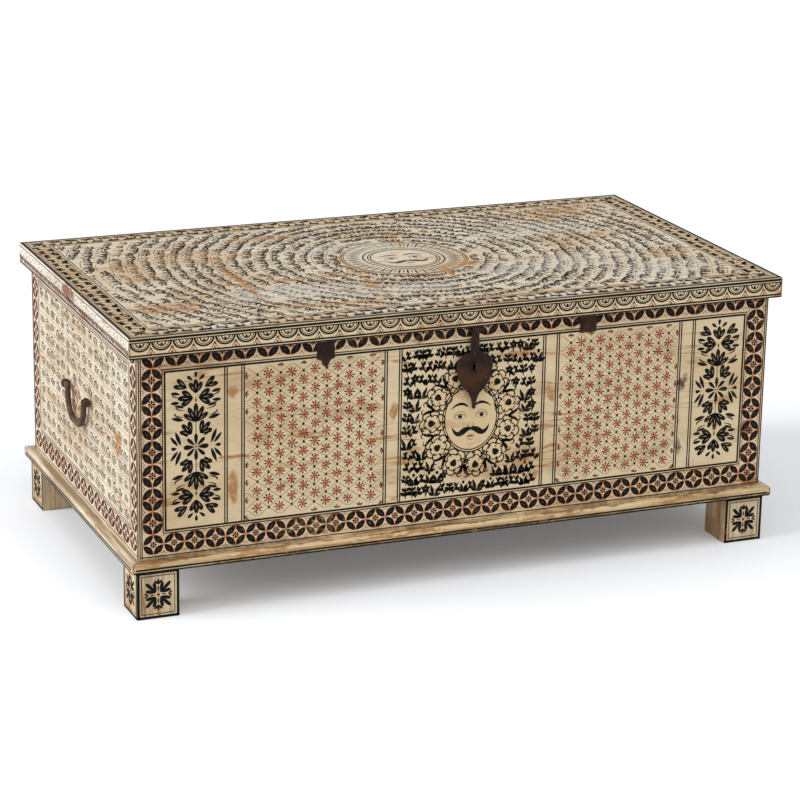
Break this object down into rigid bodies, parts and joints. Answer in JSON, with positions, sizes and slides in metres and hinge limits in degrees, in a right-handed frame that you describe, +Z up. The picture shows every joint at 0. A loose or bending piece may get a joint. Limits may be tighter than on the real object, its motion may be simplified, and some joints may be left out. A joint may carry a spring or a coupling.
{
  "type": "trunk coffee table",
  "caption": "Low painted wooden trunk on block feet with a moulded plinth, an overhanging hinged lid, an iron heart-shaped hasp and iron drop handles; serves as a coffee table.",
  "frame": {"origin": "on the floor under the middle of the trunk", "axes": "+X to the right along the length, +Y from the front to the back, +Z up"},
  "size_m": [1.2, 0.685, 0.49],
  "materials": {
    "painted_wood": "cream ground painted with black and brick-red ornament, worn and stained",
    "bare_wood": "unpainted aged softwood",
    "iron": "forged iron with a dark rusty skin"
  },
  "bodies": {
    "carcass": {"back_board": "painted_wood", "corner_pegs": "bare_wood", "end_board_left": "painted_wood", "end_board_right": "painted_wood", "floor_bearer": "bare_wood", "floor_plank_1": "bare_wood", "floor_plank_2": "bare_wood", "floor_plank_3": "bare_wood", "foot_back_left": "painted_wood", "foot_back_right": "painted_wood", "foot_front_left": "painted_wood", "foot_front_right": "painted_wood", "front_board": "painted_wood", "front_plate_left": "iron", "front_plate_nails": "iron", "front_plate_right": "iron", "handle_eyes_left": "iron", "handle_eyes_right": "iron", "hinge_strap_left": "iron", "hinge_strap_nails": "iron", "hinge_strap_right": "iron", "lock_staple": "iron", "plinth_back": "painted_wood", "plinth_front": "painted_wood", "plinth_left": "painted_wood", "plinth_right": "painted_wood"},
    "lid": {"batten_nails": "iron", "hasp_hanger": "iron", "hinge_leaf_left": "iron", "hinge_leaf_nails": "iron", "hinge_leaf_right": "iron", "hinge_pin_left": "iron", "hinge_pin_right": "iron", "lid_batten_left": "bare_wood", "lid_batten_right": "bare_wood", "lid_plank_1": "painted_wood", "lid_plank_2": "painted_wood", "lid_plank_3": "painted_wood", "lid_rail_back": "painted_wood", "lid_rail_front": "painted_wood", "lid_rail_left": "painted_wood", "lid_rail_right": "painted_wood"},
    "hasp": {"hasp": "iron"},
    "handle_left": {"handle_left": "iron"},
    "handle_right": {"handle_right": "iron"}
  },
  "joints": [
    {"name": "lid_hinge", "type": "hinge", "parent": "carcass", "child": "lid", "pos_m": [0, 0.3385, 0.454], "axis": [-1, 0, 0], "range_deg": [0, 100]},
    {"name": "hasp_swing", "type": "hinge", "parent": "lid", "child": "hasp", "pos_m": [0.013, -0.327, 0.4464], "axis": [-1, 0, 0], "range_deg": [0, 120]},
    {"name": "left_handle_swing", "type": "hinge", "parent": "carcass", "child": "handle_left", "pos_m": [-0.591, 0.012, 0.298], "axis": [0, 1, 0], "range_deg": [0, 170]},
    {"name": "right_handle_swing", "type": "hinge", "parent": "carcass", "child": "handle_right", "pos_m": [0.591, 0.012, 0.298], "axis": [0, -1, 0], "range_deg": [0, 170]}
  ]
}
